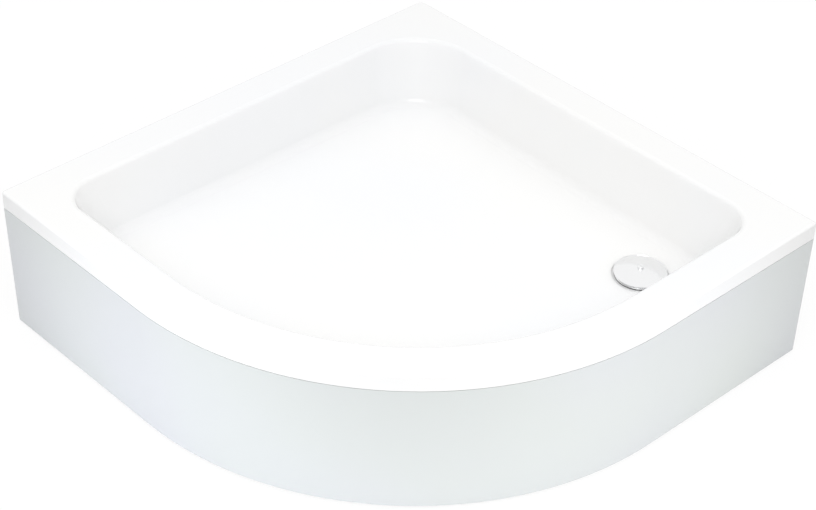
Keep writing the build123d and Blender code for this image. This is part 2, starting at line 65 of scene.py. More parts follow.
def make_camera():
    """The photograph's camera, turned about its own axis by its roll."""
    azimuth = math.radians(CAMERA_AZIMUTH)
    elevation = math.radians(CAMERA_ELEVATION)
    roll = math.radians(CAMERA_ROLL)
    back = Vector((
        math.sin(azimuth) * math.cos(elevation),
        -math.cos(azimuth) * math.cos(elevation),
        math.sin(elevation),
    ))
    level_right = Vector((math.cos(azimuth), math.sin(azimuth), 0))
    level_up = back.cross(level_right)
    right = math.cos(roll) * level_right + math.sin(roll) * level_up
    up = -math.sin(roll) * level_right + math.cos(roll) * level_up
    data = bpy.data.cameras.new("camera")
    data.sensor_width = SENSOR_WIDTH
    data.lens = CAMERA_FOCAL_PIXELS * SENSOR_WIDTH / IMAGE_WIDTH
    data.clip_end = VIEW_END
    camera = bpy.data.objects.new("camera", data)
    axes = Matrix((right, up, back)).transposed()
    camera.matrix_world = Matrix.Translation(CAMERA_PLACE) @ axes.to_4x4()
    bpy.context.scene.collection.objects.link(camera)
    bpy.context.scene.camera = camera


# Node helpers

# Sockets of the mix node that take and give colours
MIX_COLOURS = (6, 7)
MIX_RESULT = 2
# The part of 0 to 1 that noise mostly fills
NOISE_LOW = 0.3
NOISE_HIGH = 0.7


class Nodes:
    """A material's node tree with its shader, and short ways to add to it."""

    def __init__(self, name):
        self.material = bpy.data.materials.new(name)
        self.material.use_nodes = True
        self.tree = self.material.node_tree
        self.shader = self.tree.nodes["Principled BSDF"]
        self.place = self.add("ShaderNodeTexCoord").outputs["Object"]

    def add(self, kind, **settings):
        node = self.tree.nodes.new(kind)
        for key, value in settings.items():
            setattr(node, key, value)
        return node

    def link(self, source, target):
        self.tree.links.new(source, target)

    def set(self, **values):
        """Sets the shader's inputs, named with underscores for spaces."""
        for key, value in values.items():
            self.shader.inputs[key.replace("_", " ")].default_value = value

    def scaled(self, x, y, z, turn=(0, 0, 0)):
        """Object coordinates stretched along each axis and turned, in radians."""
        mapping = self.add("ShaderNodeMapping")
        mapping.inputs["Scale"].default_value = (x, y, z)
        mapping.inputs["Rotation"].default_value = turn
        self.link(self.place, mapping.inputs["Vector"])
        return mapping.outputs["Vector"]

    def noise(self, scale, detail=2.0, roughness=0.5, place=None):
        node = self.add("ShaderNodeTexNoise")
        node.inputs["Scale"].default_value = scale
        node.inputs["Detail"].default_value = detail
        node.inputs["Roughness"].default_value = roughness
        self.link(place or self.place, node.inputs["Vector"])
        return node.outputs["Fac"]

    def cells(self, scale, output="Color", place=None):
        node = self.add("ShaderNodeTexVoronoi")
        node.inputs["Scale"].default_value = scale
        self.link(place or self.place, node.inputs["Vector"])
        return node.outputs[output]

    def grey(self, colour):
        """The brightness of a colour."""
        node = self.add("ShaderNodeRGBToBW")
        self.link(colour, node.inputs["Color"])
        return node.outputs["Val"]

    def span(self, value, low, high, to_low=0.0, to_high=1.0):
        """Maps a value's range onto another and clamps it."""
        node = self.add("ShaderNodeMapRange")
        self.link(value, node.inputs["Value"])
        node.inputs["From Min"].default_value = low
        node.inputs["From Max"].default_value = high
        node.inputs["To Min"].default_value = to_low
        node.inputs["To Max"].default_value = to_high
        return node.outputs["Result"]

    def larger(self, first, second):
        """The larger of two values."""
        node = self.add("ShaderNodeMath", operation="MAXIMUM")
        self.link(first, node.inputs[0])
        self.link(second, node.inputs[1])
        return node.outputs[0]

    def mixed(self, factor, first, second):
        """A colour between two colours, each given as numbers or as an output."""
        node = self.add("ShaderNodeMix", data_type="RGBA")
        self.link(factor, node.inputs["Factor"])
        for index, value in zip(MIX_COLOURS, (first, second)):
            if isinstance(value, (tuple, list)):
                node.inputs[index].default_value = (*value, 1.0)
            else:
                self.link(value, node.inputs[index])
        return node.outputs[MIX_RESULT]

    def colour(self, source):
        self.link(source, self.shader.inputs["Base Color"])

    def rough(self, source, low, high):
        """Lets the roughness follow a noise, from low to high."""
        self.link(self.span(source, NOISE_LOW, NOISE_HIGH, low, high), self.shader.inputs["Roughness"])

    def bump(self, height, strength, distance):
        """Adds a bump to those already there; the distance is in millimetres."""
        node = self.add("ShaderNodeBump")
        node.inputs["Strength"].default_value = strength
        node.inputs["Distance"].default_value = distance * MM
        self.link(height, node.inputs["Height"])
        if self.shader.inputs["Normal"].is_linked:
            self.link(self.shader.inputs["Normal"].links[0].from_socket, node.inputs["Normal"])
        self.link(node.outputs["Normal"], self.shader.inputs["Normal"])


# Materials

def acrylic(name, base, cool, warm):
    """Glossy white sanitary acrylic, darkened by painted shade where it is given grey colours: broad
    faint tints, slight waviness, fine polish variation.
    """
    m = Nodes(name)
    broad = m.span(m.noise(2.6, detail=1.0), 0.38, 0.62)
    tinted = m.mixed(broad, cool, warm)
    patches = m.span(m.noise(7.0), 0.45, 0.75, to_high=0.5)
    m.colour(m.mixed(patches, tinted, base))
    m.rough(m.noise(60.0, detail=3.0), 0.16, 0.24)
    m.bump(m.noise(18.0, detail=1.0), strength=0.05, distance=2.0)
    m.bump(m.noise(420.0), strength=0.03, distance=0.3)
    m.set(IOR=1.49, Coat_Weight=0.35, Coat_Roughness=0.05)
    return m.material


# How the strands lie, in radians: a turn for each layer, and a tilt that all of them share
STRAND_TURNS = (0.3, 1.35, 2.4)
STRAND_TILT = (0.35, 0.2)


def glass_fibre():
    """Chopped strands in cured resin, laid in three directions."""
    m = Nodes("glass_fibre")
    layers = []
    for turn in STRAND_TURNS:
        place = m.scaled(28, 420, 150, (*STRAND_TILT, turn))
        layers.append(m.span(m.noise(1.0, roughness=0.6, place=place), 0.5, 0.66))
    strands = m.larger(m.larger(layers[0], layers[1]), layers[2])
    resin = m.mixed(m.noise(9.0, detail=3.0), (0.62, 0.60, 0.47), (0.74, 0.72, 0.60))
    m.colour(m.mixed(strands, resin, (0.86, 0.86, 0.80)))
    m.rough(strands, 0.28, 0.55)
    m.bump(strands, strength=0.5, distance=0.6)
    m.bump(m.noise(34.0, detail=3.0), strength=0.4, distance=2.0)
    m.set(Coat_Weight=0.25, Coat_Roughness=0.2)
    return m.material


def resin_bedding():
    """Filled resin, set in dull lumps."""
    m = Nodes("resin_bedding")
    lumps = m.noise(55.0, detail=5.0, roughness=0.65)
    m.colour(m.mixed(m.span(lumps, 0.35, 0.7), (0.42, 0.40, 0.33), (0.62, 0.60, 0.52)))
    m.rough(lumps, 0.5, 0.75)
    m.bump(lumps, strength=0.6, distance=2.0)
    return m.material


def chipboard():
    """Pressed flakes of pale and brown wood."""
    m = Nodes("chipboard")
    place = m.scaled(1, 1.7, 1, (0, 0, 0.5))
    flakes = m.grey(m.cells(150.0, place=place))
    tone = m.mixed(flakes, (0.36, 0.23, 0.11), (0.66, 0.49, 0.29))
    grain = m.noise(1.0, detail=3.0, roughness=0.6, place=m.scaled(90, 700, 300))
    fibres = m.span(grain, 0.35, 0.65)
    m.colour(m.mixed(fibres, tone, (0.52, 0.37, 0.20)))
    m.rough(flakes, 0.6, 0.85)
    m.bump(m.cells(150.0, "Distance", place), strength=0.35, distance=0.6)
    return m.material


def galvanised():
    """Zinc spangle: crystal cells, each with its own tone and dullness."""
    m = Nodes("galvanised_steel")
    crystals = m.grey(m.cells(150.0))
    m.colour(m.mixed(crystals, (0.60, 0.62, 0.64), (0.69, 0.71, 0.73)))
    m.rough(crystals, 0.40, 0.48)
    m.bump(m.noise(300.0, detail=3.0), strength=0.1, distance=0.3)
    m.set(Metallic=1.0)
    return m.material


def plated(name, dark, light, low, high):
    """Plated or spring steel with fine drawing marks."""
    m = Nodes(name)
    marks = m.noise(1.0, detail=3.0, roughness=0.6, place=m.scaled(120, 120, 2200))
    m.colour(m.mixed(marks, dark, light))
    m.rough(marks, low, high)
    m.bump(marks, strength=0.08, distance=0.2)
    m.set(Metallic=1.0)
    return m.material


def chrome():
    """Pale satin chrome with faint water haze."""
    m = Nodes("chrome")
    haze = m.noise(90.0, detail=4.0)
    m.colour(m.mixed(haze, (0.89, 0.895, 0.90), (0.915, 0.918, 0.922)))
    m.rough(haze, 0.18, 0.23)
    m.set(Metallic=1.0)
    return m.material


def moulded(name, dark, light, low, high):
    """Injection-moulded plastic with a fine grained skin."""
    m = Nodes(name)
    m.colour(m.mixed(m.noise(25.0, detail=3.0), dark, light))
    m.rough(m.noise(150.0), low, high)
    m.bump(m.noise(900.0), strength=0.12, distance=0.3)
    m.set(IOR=1.47)
    return m.material


def rubber():
    """Dull black seal rubber."""
    m = Nodes("rubber")
    m.colour(m.mixed(m.noise(40.0, detail=3.0), (0.018, 0.018, 0.019), (0.04, 0.04, 0.042)))
    m.rough(m.noise(200.0), 0.55, 0.8)
    m.bump(m.noise(1200.0), strength=0.2, distance=0.3)
    return m.material


def ferrite():
    """Dark, slightly gritty magnet ceramic."""
    m = Nodes("magnet_block")
    m.colour(m.mixed(m.noise(70.0, detail=4.0), (0.03, 0.03, 0.032), (0.075, 0.075, 0.08)))
    m.rough(m.noise(120.0, detail=3.0), 0.4, 0.65)
    m.bump(m.noise(500.0, detail=3.0), strength=0.2, distance=0.3)
    return m.material


# One material for each slot of the record
MATERIALS = {
    "acrylic": acrylic(
        "tray_acrylic",
        base=(0.93, 0.933, 0.932),
        cool=(0.922, 0.928, 0.938),
        warm=(0.935, 0.933, 0.926),
    ),
    # The apron is the same white acrylic as the tray; its grey colours are painted shade for its upright
    # face, which takes less light. The tints still vary at random.
    "apron_acrylic": acrylic(
        "apron_acrylic",
        base=(0.70, 0.728, 0.732),
        cool=(0.70, 0.718, 0.742),
        warm=(0.70, 0.730, 0.720),
    ),
    "glass_fibre": glass_fibre(),
    "resin_bedding": resin_bedding(),
    "chipboard": chipboard(),
    "galvanised_steel": galvanised(),
    "zinc_steel": plated("zinc_steel", (0.55, 0.57, 0.60), (0.72, 0.74, 0.76), 0.22, 0.38),
    "spring_steel": plated("spring_steel", (0.30, 0.31, 0.33), (0.45, 0.46, 0.48), 0.25, 0.4),
    "magnet_block": ferrite(),
    "chrome": chrome(),
    "rubber": rubber(),
    "trap_plastic": moulded("trap_plastic", (0.74, 0.74, 0.72), (0.80, 0.80, 0.79), 0.30, 0.42),
    "insert_plastic": moulded("insert_plastic", (0.32, 0.34, 0.36), (0.40, 0.42, 0.44), 0.35, 0.5),
    "grey_plastic": moulded("grey_plastic", (0.05, 0.05, 0.055), (0.08, 0.08, 0.085), 0.4, 0.55),
    "foot_plastic": moulded("foot_plastic", (0.045, 0.045, 0.048), (0.070, 0.070, 0.074), 0.35, 0.55),
}


# Edges broken on the plain CAD solids, in millimetres
BROKEN_EDGES = {
    "apron_panel": 0.8,
    "base_board": 0.7,
    "rail_left": 0.6,
    "rail_right": 0.6,
    "rail_drain_side": 0.6,
    "rail_caps": 0.6,
    "apron_clips": 0.3,
    "apron_magnets": 0.5,
    "apron_keepers": 0.25,
    "apron_bracket_left_front": 0.5,
    "apron_bracket_right_front": 0.5,
    "apron_bracket_drain_side": 0.5,
    "wall_brackets": 0.5,
    "waste_flange": 0.4,
    "trap_body": 0.6,
    "outlet_nut": 0.4,
    "outlet_pipe": 0.3,
    "trap_insert": 0.3,
}
# Nodes whose bevel comes out cleaner with their triangles left as they are
KEPT_TRIANGLES = ("apron_panel",)
CORNER_MATCH = 0.001
FLAT_ANGLE = 0.1
SHARP_ANGLE = 32
BEVEL_SEGMENTS = 2


def shade_smooth(mesh):
    mesh.polygons.foreach_set("use_smooth", [True] * len(mesh.polygons))


def break_edges(node, width):
    """Joins the solid's faces and rounds its sharp edges, so that they catch the light."""
    mesh = node.data
    if "custom_normal" in mesh.attributes:
        mesh.attributes.remove(mesh.attributes["custom_normal"])
    shade_smooth(mesh)
    weld = node.modifiers.new("weld", "WELD")
    weld.merge_threshold = CORNER_MATCH * MM
    if node.name not in KEPT_TRIANGLES:
        flat = node.modifiers.new("whole flat faces", "DECIMATE")
        flat.decimate_type = "DISSOLVE"
        flat.angle_limit = math.radians(FLAT_ANGLE)
    bevel = node.modifiers.new("broken edges", "BEVEL")
    bevel.width = width * MM
    bevel.segments = BEVEL_SEGMENTS
    bevel.limit_method = "ANGLE"
    bevel.angle_limit = math.radians(SHARP_ANGLE)
    bevel.harden_normals = True


def dress_cad_nodes():
    """Every CAD node takes the material of its slot."""
    for row in frame["record"]["subparts"]:
        node = frame["nodes"][row["node"]]
        node.data.materials.clear()
        node.data.materials.append(MATERIALS[row["material_slot"]])
        if row["node"] in BROKEN_EDGES:
            break_edges(node, BROKEN_EDGES[row["node"]])


# Pieces made here

PIECE_SHARP_ANGLE = 35
PIECE_CORNER_MATCH = 0.0002
THREAD_SEGMENTS = 20
THREAD_FLAT = 0.14
BEAD_SIDES = 8
BEAD_RIPPLE = 0.14
BEAD_RIPPLE_STEP = 2.1
BEAD_SWELL_STEP = 0.7


class Shape:
    """Vertices and faces of one piece, added form by form in millimetres."""

    def __init__(self):
        self.vertices = []
        self.faces = []

    def rings(self, rows, segments, place, loop=False):
        """Rings of (radius, level) about an upright axis; a radius may be a function of the angle.

        The first and last ring are closed with flat faces, unless the rows run round in a loop.
        """
        start = len(self.vertices)
        for radius, level in rows:
            for index in range(segments):
                angle = 2 * math.pi * index / segments
                out = radius(angle) if callable(radius) else radius
                x = place[0] + out * math.cos(angle)
                y = place[1] + out * math.sin(angle)
                self.vertices.append((x, y, level))
        count = len(rows)
        for row in range(count if loop else count - 1):
            here = start + row * segments
            above = start + (row + 1) % count * segments
            for index in range(segments):
                after = (index + 1) % segments
                self.faces.append((here + index, here + after, above + after, above + index))
        if not loop:
            last = start + (count - 1) * segments
            self.faces.append(tuple(start + index for index in reversed(range(segments))))
            self.faces.append(tuple(last + index for index in range(segments)))

    def thread(self, place, bottom, top, crest, root, pitch):
        """A threaded rod, with the helix running out at both ends.

        The profile's radii stand at shares of the pitch. Each row of points makes one turn, and its
        last point meets the first one of the same radius a pitch higher.
        """
        segments = THREAD_SEGMENTS
        profile = [(crest, 0.0), (crest, THREAD_FLAT), (root, 0.5), (root, 0.5 + THREAD_FLAT)]
        turns = math.ceil((top - bottom) / pitch) + 2
        rows = [(radius, turn + share) for turn in range(-1, turns) for radius, share in profile]
        start = len(self.vertices)
        for radius, turn in rows:
            for index in range(segments):
                angle = 2 * math.pi * index / segments
                height = bottom + (turn + index / segments) * pitch
                height = min(max(height, bottom), top)
                out = min(radius, root + min(top - height, height - bottom))
                x = place[0] + out * math.cos(angle)
                y = place[1] + out * math.sin(angle)
                self.vertices.append((x, y, height))
        last = len(rows) - len(profile) - 1
        for row in range(last):
            for index in range(segments):
                here = start + row * segments + index
                after = here + 1
                if index == segments - 1:
                    after = start + (row + len(profile)) * segments
                self.faces.append((here, after, after + segments, here + segments))
        self.faces.append(tuple(start + index for index in reversed(range(segments))))
        self.faces.append(tuple(start + last * segments + index for index in range(segments)))

    def plate(self, points, thickness, place, degrees):
        """A flat plate on edge, from (distance from the axis, level) points, turned about the axis."""
        start = len(self.vertices)
        turn = math.radians(degrees)
        for side in (-thickness / 2, thickness / 2):
            for out, level in points:
                x = place[0] + out * math.cos(turn) - side * math.sin(turn)
                y = place[1] + out * math.sin(turn) + side * math.cos(turn)
                self.vertices.append((x, y, level))
        count = len(points)
        for index in range(count):
            here, after = start + index, start + (index + 1) % count
            self.faces.append((here, after, after + count, here + count))
        self.faces.append(tuple(start + index for index in reversed(range(count))))
        self.faces.append(tuple(start + count + index for index in range(count)))

    def bead(self, path, radius, across, loop=False):
        """A run of weld metal along a path; across is a direction that is never along it."""
        sides = BEAD_SIDES
        start = len(self.vertices)
        count = len(path)
        for index, point in enumerate(path):
            before = path[index - 1] if index > 0 or loop else point
            after = path[(index + 1) % count] if index < count - 1 or loop else point
            along = (Vector(after) - Vector(before)).normalized()
            side = along.cross(Vector(across)).normalized()
            up = side.cross(along)
            ripple = math.sin(BEAD_RIPPLE_STEP * index) + 0.5 * math.sin(BEAD_SWELL_STEP * index)
            size = radius * (1 + BEAD_RIPPLE * ripple)
            for corner in range(sides):
                angle = 2 * math.pi * corner / sides
                place = Vector(point) + size * (math.cos(angle) * side + math.sin(angle) * up)
                self.vertices.append(tuple(place))
        for row in range(count if loop else count - 1):
            here = start + row * sides
            above = start + (row + 1) % count * sides
            for corner in range(sides):
                after = (corner + 1) % sides
                self.faces.append((here + corner, here + after, above + after, above + corner))
        if not loop:
            last = start + (count - 1) * sides
            self.faces.append(tuple(start + corner for corner in reversed(range(sides))))
            self.faces.append(tuple(last + corner for corner in range(sides)))

    def finished(self, name, body, slot, sharp=PIECE_SHARP_ANGLE):
        """The piece as an object that rides on a body, with outward faces and its slot's material."""
        mesh = bpy.data.meshes.new(name)
        corners = [tuple(MM * value for value in corner) for corner in self.vertices]
        mesh.from_pydata(corners, [], self.faces)
        work = bmesh.new()
        work.from_mesh(mesh)
        bmesh.ops.remove_doubles(work, verts=work.verts, dist=PIECE_CORNER_MATCH * MM)
        bmesh.ops.recalc_face_normals(work, faces=work.faces)
        work.to_mesh(mesh)
        work.free()
        shade_smooth(mesh)
        mesh.set_sharp_from_angle(angle=math.radians(sharp))
        mesh.materials.append(MATERIALS[slot])
        piece = bpy.data.objects.new(name, mesh)
        bpy.context.scene.collection.objects.link(piece)
        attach(piece, body)
        return piece


def extent(node):
    """A CAD node's lowest and highest corner, in millimetres."""
    low_corner, high_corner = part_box(node)
    return [value / MM for value in low_corner], [value / MM for value in high_corner]


def middle(node):
    """The X and Y of a CAD node's middle, in millimetres."""
    low_corner, high_corner = extent(node)
    return (low_corner[0] + high_corner[0]) / 2, (low_corner[1] + high_corner[1]) / 2


# Levelling legs

ROD_RADIUS = 6.0
THREAD_ROOT = 5.1
THREAD_PITCH = 1.75
NUT_SEGMENTS = 72
NUT_FLATS = 19.0
NUT_BORE = 6.2
NUT_SINK = 0.7
# The round faces of a nut, and the cone from there down to its corners
NUT_FACE_RADIUS = 0.96 * NUT_FLATS / 2
NUT_CHAMFER = 0.9
NUT_CHAMFER_REACH = 1.7
NUT_CHAMFER_STEPS = (0.0, 0.25, 0.5, 0.8, 1.2)
ADJUSTER_BOTTOM = 20.0
ADJUSTER_TOP = 28.0

FOOT_SEGMENTS = 96
FOOT_RADIUS = 25.0
FOOT_TOP = 20.0
FOOT_RIBS = 12
FOOT_RIB_DEPTH = 0.9
# Radii and levels round a foot, from the middle of its underside to its socket
FOOT_MIDDLE = 3.0
FOOT_UNDERSIDE = [(FOOT_MIDDLE, 0.9), (16.5, 0.9), (17.6, 0.0), (23.4, 0.0)]
FOOT_EDGE = [
    (24.5, 0.35), (FOOT_RADIUS, 1.2), (FOOT_RADIUS, 3.6),
    (24.6, 4.6), (23.7, 5.0), (20.9, 5.15),
]
FOOT_RIBBED_HUB = [(19.6, 5.9), (15.9, 11.8), (12.4, 17.6)]
FOOT_HUB_TOP = [(11.3, 19.4), (10.4, FOOT_TOP), (7.0, FOOT_TOP)]
FOOT_SOCKET = [(6.15, 19.3), (6.15, 6.4), (FOOT_MIDDLE, 6.4)]


def hexagon(angle):
    """Distance from a nut's axis to its side at an angle, with a corner at angle 0."""
    return NUT_FLATS / 2 / math.cos(angle % (math.pi / 3) - math.pi / 6)


def chamfered(limit):
    """The hexagon cut by the nut's conical chamfer where its radius is limit."""
    return lambda angle: min(hexagon(angle), limit)


def nut_rows(bottom, top, bore):
    """A hexagon nut's rings: the chamfered sides, both faces and the countersunk bore."""
    sides = [
        (chamfered(NUT_FACE_RADIUS + NUT_CHAMFER_REACH * step), NUT_CHAMFER * step)
        for step in NUT_CHAMFER_STEPS
    ]
    lower = [(radius, bottom + rise) for radius, rise in sides]
    upper = [(radius, top - drop) for radius, drop in reversed(sides)]
    sunk = bore + NUT_SINK
    inside = [(sunk, top), (bore, top - NUT_SINK), (bore, bottom + NUT_SINK), (sunk, bottom)]
    return lower + upper + inside


def rib(radius):
    """A radius that dips between the ribs round a foot's hub."""
    return lambda angle: radius - FOOT_RIB_DEPTH * (0.5 - 0.5 * math.cos(FOOT_RIBS * angle)) ** 2


def leg_rods():
    """Each leg's rod with its cut thread and the hexagon that turns it."""
    for leg in LEGS:
        node = "rod_" + leg
        low_corner, high_corner = extent(node)
        place = middle(node)
        shape = Shape()
        shape.thread(place, low_corner[2], high_corner[2], ROD_RADIUS, THREAD_ROOT, THREAD_PITCH)
        shape.rings(nut_rows(ADJUSTER_BOTTOM, ADJUSTER_TOP, THREAD_ROOT), NUT_SEGMENTS, place, loop=True)
        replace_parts(shape.finished("threaded_rod_" + leg, "leg_" + leg, "zinc_steel"), node)


def leg_feet():
    """Each leg's round foot, with a tread, a rounded edge, a ribbed hub and the rod's socket."""
    ribs = [(rib(radius), level) for radius, level in FOOT_RIBBED_HUB]
    rows = FOOT_UNDERSIDE + FOOT_EDGE + ribs + FOOT_HUB_TOP + FOOT_SOCKET
    for leg in LEGS:
        node = "foot_" + leg
        shape = Shape()
        shape.rings(rows, FOOT_SEGMENTS, middle(node))
        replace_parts(shape.finished("ribbed_foot_" + leg, "leg_" + leg, "foot_plastic"), node)


def nuts():
    """The weld nuts and lock nuts, each with its chamfers and countersinks."""
    for name, node in (("chamfered_weld_nuts", "weld_nuts"), ("chamfered_lock_nuts", "lock_nuts")):
        shape = Shape()
        for leg in LEGS:
            place = middle("rod_" + leg)
            bottom, top = nut_levels(node, place)
            shape.rings(nut_rows(bottom, top, NUT_BORE), NUT_SEGMENTS, place, loop=True)
        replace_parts(shape.finished(name, "tray", "zinc_steel"), node)


def nut_levels(node, place):
    """The bottom and top of a node's nut at one leg."""
    near = [
        corner.co.z / MM
        for corner in frame["nodes"][node].data.vertices
        if math.hypot(corner.co.x / MM - place[0], corner.co.y / MM - place[1]) < NUT_FLATS
    ]
    return min(near), max(near)


# Rail screws and welds

SCREW_SEGMENTS = 64
SCREW_RADIUS = 2.2
SCREW_TIP_RADIUS = 0.3
SCREW_TIP_LENGTH = 3.0
SCREW_HEAD_RADIUS = 4.5
SCREW_HEAD_HEIGHT = 2.5
# The head's rounded side, as radii and drops from its seat
SCREW_HEAD_SIDE = [
    (SCREW_HEAD_RADIUS, 0.0), (SCREW_HEAD_RADIUS, 0.7),
    (4.2, 1.5), (3.5, 2.1), (2.6, 2.4),
]
# The driver recess, as reaches and depths
RECESS_STEPS = [(2.3, 0.0), (1.9, 0.4), (1.2, 1.3)]
RECESS_NECK = 0.55
SCREW_SPACE = 3 * SCREW_HEAD_RADIUS

WELD_STAND_OFF = 0.7
NUT_WELD_POINTS = 60
NUT_WELD_RADIUS = 1.3
SEAM_WELD_RADIUS = 1.7
SEAM_STEPS = 16
SEAM_STOP = 2.0
WELD_SHARP_ANGLE = 60


def cross(reach):
    """A four-armed driver recess of a given reach."""
    return lambda angle: RECESS_NECK + (reach - RECESS_NECK) * abs(math.cos(2 * angle)) ** 5


def screw_places():
    """The middles of the separate screws in the CAD node, found by grouping its vertices."""
    groups = []
    for corner in frame["nodes"]["rail_screws"].data.vertices:
        point = (corner.co.x / MM, corner.co.y / MM)
        near = [group for group in groups if math.dist(point, group[0]) < SCREW_SPACE]
        if near:
            near[0].append(point)
        else:
            groups.append([point])
    places = []
    for group in groups:
        across, along = zip(*group)
        places.append(((min(across) + max(across)) / 2, (min(along) + max(along)) / 2))
    return places


def rail_screws():
    """The screws up into the board, with pan heads below."""
    low_corner, high_corner = extent("rail_screws")
    tip, bottom = high_corner[2], low_corner[2]
    seat = bottom + SCREW_HEAD_HEIGHT
    shank = [(SCREW_TIP_RADIUS, tip), (SCREW_RADIUS, tip - SCREW_TIP_LENGTH), (SCREW_RADIUS, seat)]
    head = [(radius, seat - drop) for radius, drop in SCREW_HEAD_SIDE]
    recess = [(cross(reach), bottom + depth) for reach, depth in RECESS_STEPS]
    shape = Shape()
    for place in screw_places():
        shape.rings(shank + head + recess, SCREW_SEGMENTS, place)
    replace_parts(shape.finished("pan_head_screws", "tray", "zinc_steel"), "rail_screws")


def welds():
    """Weld metal round the nuts and where the short rail meets the long one."""
    rail_low, rail_high = extent("rail_drain_side")
    level = rail_low[2] - WELD_STAND_OFF
    shape = Shape()
    for leg in LEGS:
        x, y = middle("rod_" + leg)
        path = []
        for index in range(NUT_WELD_POINTS):
            angle = 2 * math.pi * index / NUT_WELD_POINTS
            out = hexagon(angle) + WELD_STAND_OFF
            path.append((x + out * math.cos(angle), y + out * math.sin(angle), level))
        shape.bead(path, NUT_WELD_RADIUS, (0, 0, 1), loop=True)
    seam = rail_low[0]
    stop = rail_high[2] - SEAM_STOP
    corners = [
        (seam, rail_low[1], stop), (seam, rail_low[1], rail_low[2]),
        (seam, rail_high[1], rail_low[2]), (seam, rail_high[1], stop),
    ]
    path = []
    for start, end in zip(corners, corners[1:]):
        for step in range(SEAM_STEPS):
            path.append(tuple(a + (b - a) * step / SEAM_STEPS for a, b in zip(start, end)))
    path.append(corners[-1])
    shape.bead(path, SEAM_WELD_RADIUS, (1, 0, 0))
    shape.finished("weld_beads", "tray", "zinc_steel", WELD_SHARP_ANGLE)


# Waste cover

COVER_SEGMENTS = 128
COVER_STEPS = 14
COVER_WALL = 1.6
COVER_HOLE = 2.2
DOME_RISE = 8.0
DOME_HOLE_DROP = 0.02
# The rolled edge: where it leaves the dome, its shoulder, its turn under as distances in from the
# rim and up from the edge, and the ring that its inside starts from
ROLL_START = 1.2
ROLL_SHOULDER = 0.5
ROLL_SHOULDER_DROP = 0.1
ROLL_TURN = [(0.0, 0.75), (0.0, 0.3), (0.35, 0.0), (1.0, 0.0), (1.5, 0.4)]
ROLL_INNER = 2.6
ROLL_INNER_LEVEL = 0.5
FIN_COUNT = 3
FIN_THICKNESS = 2.0
FIN_INNER = 8.0
FIN_OUTER = 20.0
FIN_SHOULDER = 34.0
FIN_STEP = 16.2
FIN_SUNK = 0.5


def even_steps(start, end, count):
    """Values from start to end in equal steps, both ends included."""
    return [start + (end - start) * step / count for step in range(count + 1)]


def waste_cover():
    """Thin domed cover with a rolled edge, on three fins."""
    low_corner, high_corner = extent("cover_dome")
    place = middle("cover_dome")
    radius = (high_corner[0] - low_corner[0]) / 2
    top = high_corner[2] + DOME_HOLE_DROP
    edge = top - DOME_RISE
    sphere = (radius ** 2 + DOME_RISE ** 2) / (2 * DOME_RISE)

    def outside(out):
        return top - sphere + math.sqrt(sphere ** 2 - out ** 2)

    def inside(out):
        return outside(out) - COVER_WALL

    rows = [(out, outside(out)) for out in even_steps(COVER_HOLE, radius - ROLL_START, COVER_STEPS)]
    shoulder = radius - ROLL_SHOULDER
    rows.append((shoulder, outside(shoulder) - ROLL_SHOULDER_DROP))
    rows += [(radius - inwards, edge + rise) for inwards, rise in ROLL_TURN]
    for out in even_steps(radius - ROLL_INNER, COVER_HOLE, COVER_STEPS):
        rows.append((out, max(inside(out), edge + ROLL_INNER_LEVEL)))
    shape = Shape()
    shape.rings(rows, COVER_SEGMENTS, place, loop=True)
    foot = low_corner[2]
    step = foot + FIN_STEP
    for index in range(FIN_COUNT):
        shape.plate([
            (FIN_INNER, foot), (FIN_OUTER, foot), (FIN_OUTER, step), (FIN_SHOULDER, step),
            (FIN_SHOULDER, inside(FIN_SHOULDER) + FIN_SUNK), (FIN_INNER, inside(FIN_INNER) + FIN_SUNK),
        ], FIN_THICKNESS, place, index * 360 / FIN_COUNT)
    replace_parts(shape.finished("rolled_cover", "cover", "chrome"), "cover_dome")


def detail_pieces():
    leg_rods()
    leg_feet()
    nuts()
    rail_screws()
    welds()
    waste_cover()


# Stage

FLOOR_HALF = 12.0
FLOOR_COLOUR = (0.66, 0.66, 0.66, 1)
FLOOR_ROUGHNESS = 0.9
FLOOR_GLOW_SHARE = 0.82
FLOOR_GLOW = 1.08
SKY_AT_HORIZON = 0.48
SKY_OVERHEAD = 1.16
WHITE = (1, 1, 1, 1)


def white_world():
    """Soft light, stronger from overhead; the camera and reflections see pure white."""
    world = bpy.data.worlds.new("studio")
    world.use_nodes = True
    bpy.context.scene.world = world
    tree = world.node_tree
    tree.nodes.clear()
    place = tree.nodes.new("ShaderNodeTexCoord")
    split = tree.nodes.new("ShaderNodeSeparateXYZ")
    tree.links.new(place.outputs["Generated"], split.inputs[0])
    height = tree.nodes.new("ShaderNodeMapRange")
    tree.links.new(split.outputs["Z"], height.inputs["Value"])
    height.inputs["To Min"].default_value = SKY_AT_HORIZON
    height.inputs["To Max"].default_value = SKY_OVERHEAD
    lighting = tree.nodes.new("ShaderNodeBackground")
    lighting.inputs["Color"].default_value = WHITE
    tree.links.new(height.outputs["Result"], lighting.inputs["Strength"])
    seen = tree.nodes.new("ShaderNodeBackground")
    seen.inputs["Color"].default_value = WHITE
    seen.inputs["Strength"].default_value = 1.0
    path = tree.nodes.new("ShaderNodeLightPath")
    share = path.outputs["Is Camera Ray"]
    for ray in ("Is Glossy Ray", "Is Transmission Ray"):
        either = tree.nodes.new("ShaderNodeMath")
        either.operation = "MAXIMUM"
        tree.links.new(share, either.inputs[0])
        tree.links.new(path.outputs[ray], either.inputs[1])
        share = either.outputs[0]
    mix = tree.nodes.new("ShaderNodeMixShader")
    tree.links.new(share, mix.inputs["Fac"])
    tree.links.new(lighting.outputs[0], mix.inputs[1])
    tree.links.new(seen.outputs[0], mix.inputs[2])
    output = tree.nodes.new("ShaderNodeOutputWorld")
    tree.links.new(mix.outputs[0], output.inputs["Surface"])


